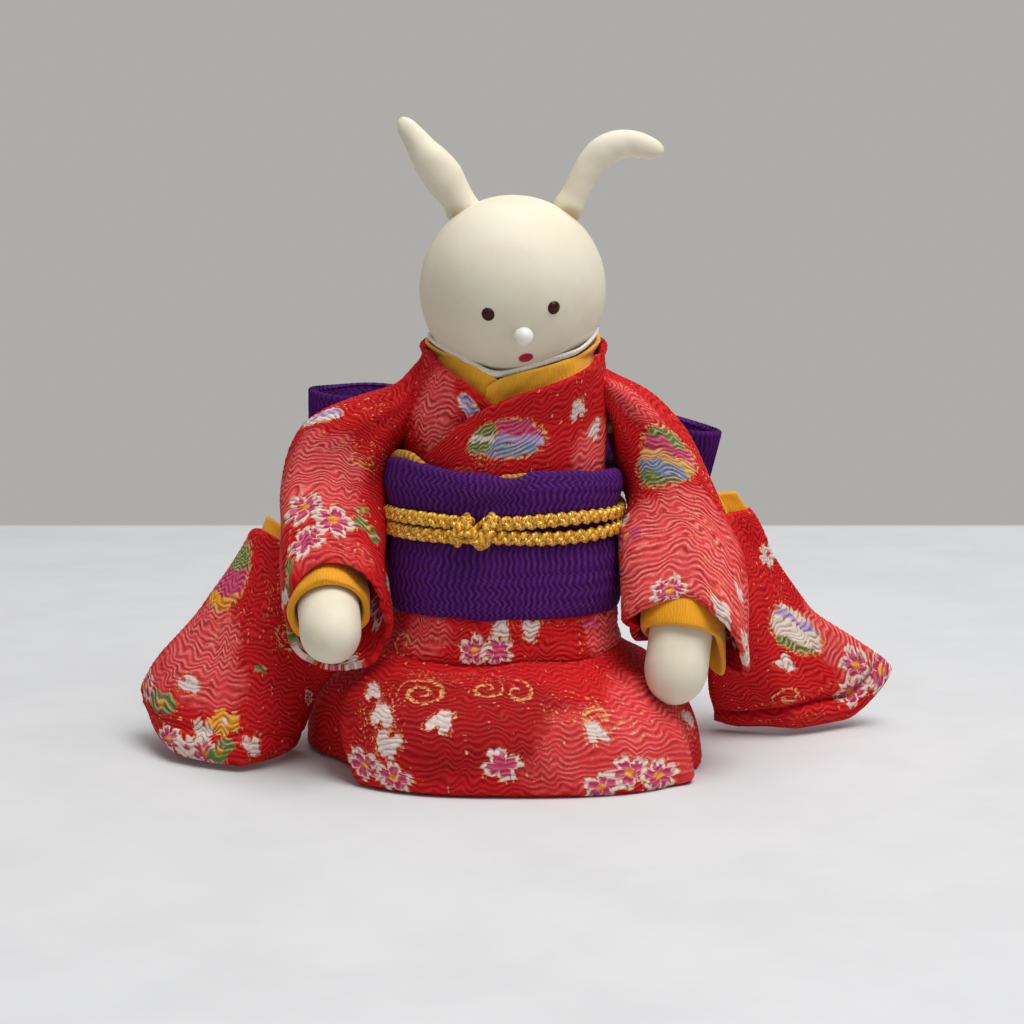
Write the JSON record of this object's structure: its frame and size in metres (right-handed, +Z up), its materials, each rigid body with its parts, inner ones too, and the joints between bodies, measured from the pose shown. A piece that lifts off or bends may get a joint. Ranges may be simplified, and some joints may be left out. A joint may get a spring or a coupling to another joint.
{
  "type": "rabbit doll",
  "caption": "Seated rabbit doll in a wrapped crepe kimono with long trailing sleeves, a wide sash and a braided cord; the head turns and the arms swing at the shoulders.",
  "frame": {"origin": "centre of the underside of the base disc", "axes": "+Z up, -Y toward the viewer in front of the face, +X to the viewer's right"},
  "size_m": [0.1089, 0.0457, 0.0866],
  "materials": {
    "red_crepe": "crinkled crepe with a traditional flower print",
    "purple_crepe": "ribbed crepe",
    "yellow_cloth": "fine plain weave",
    "white_cloth": "plain weave",
    "gold_braid": "metallic thread braid",
    "ivory": "matte ivory resin",
    "dark_bead": "glossy dark brown",
    "wood": "bare",
    "wadding": "cotton wadding"
  },
  "bodies": {
    "body": {"base_disc": "wood", "body_core": "wadding", "neck_peg": "wood", "shoulder_rod": "wood", "kimono_skirt": "red_crepe", "waist_fold": "red_crepe", "kimono_bodice": "red_crepe", "white_collar": "white_cloth", "yellow_collar": "yellow_cloth", "obi_band": "purple_crepe", "obi_scarf": "gold_braid", "gold_cord": "gold_braid", "gold_cord_knot": "gold_braid", "bow_loop_left": "purple_crepe", "bow_loop_right": "purple_crepe", "bow_center_band": "purple_crepe"},
    "head": {"head_ball": "ivory", "left_ear": "ivory", "right_ear": "ivory", "left_eye": "dark_bead", "right_eye": "dark_bead", "nose_bead": "ivory"},
    "left_arm": {"left_arm": "ivory", "left_cuff": "yellow_cloth", "left_sleeve": "red_crepe", "left_sleeve_lining": "yellow_cloth"},
    "right_arm": {"right_arm": "ivory", "right_cuff": "yellow_cloth", "right_sleeve": "red_crepe", "right_sleeve_lining": "yellow_cloth"}
  },
  "joints": [
    {"name": "head_turn", "type": "hinge", "parent": "body", "child": "head", "pos_m": [0.0014, -0.001, 0.06385], "axis": [-0.0941, 0, 0.9956], "range_deg": [-40, 40]},
    {"name": "left_arm_swing", "type": "hinge", "parent": "body", "child": "left_arm", "pos_m": [-0.0206, 0.001, 0.045], "axis": [-1, 0, 0], "range_deg": [0, 25]},
    {"name": "right_arm_swing", "type": "hinge", "parent": "body", "child": "right_arm", "pos_m": [0.0206, 0.001, 0.045], "axis": [-1, 0, 0], "range_deg": [0, 35]}
  ]
}
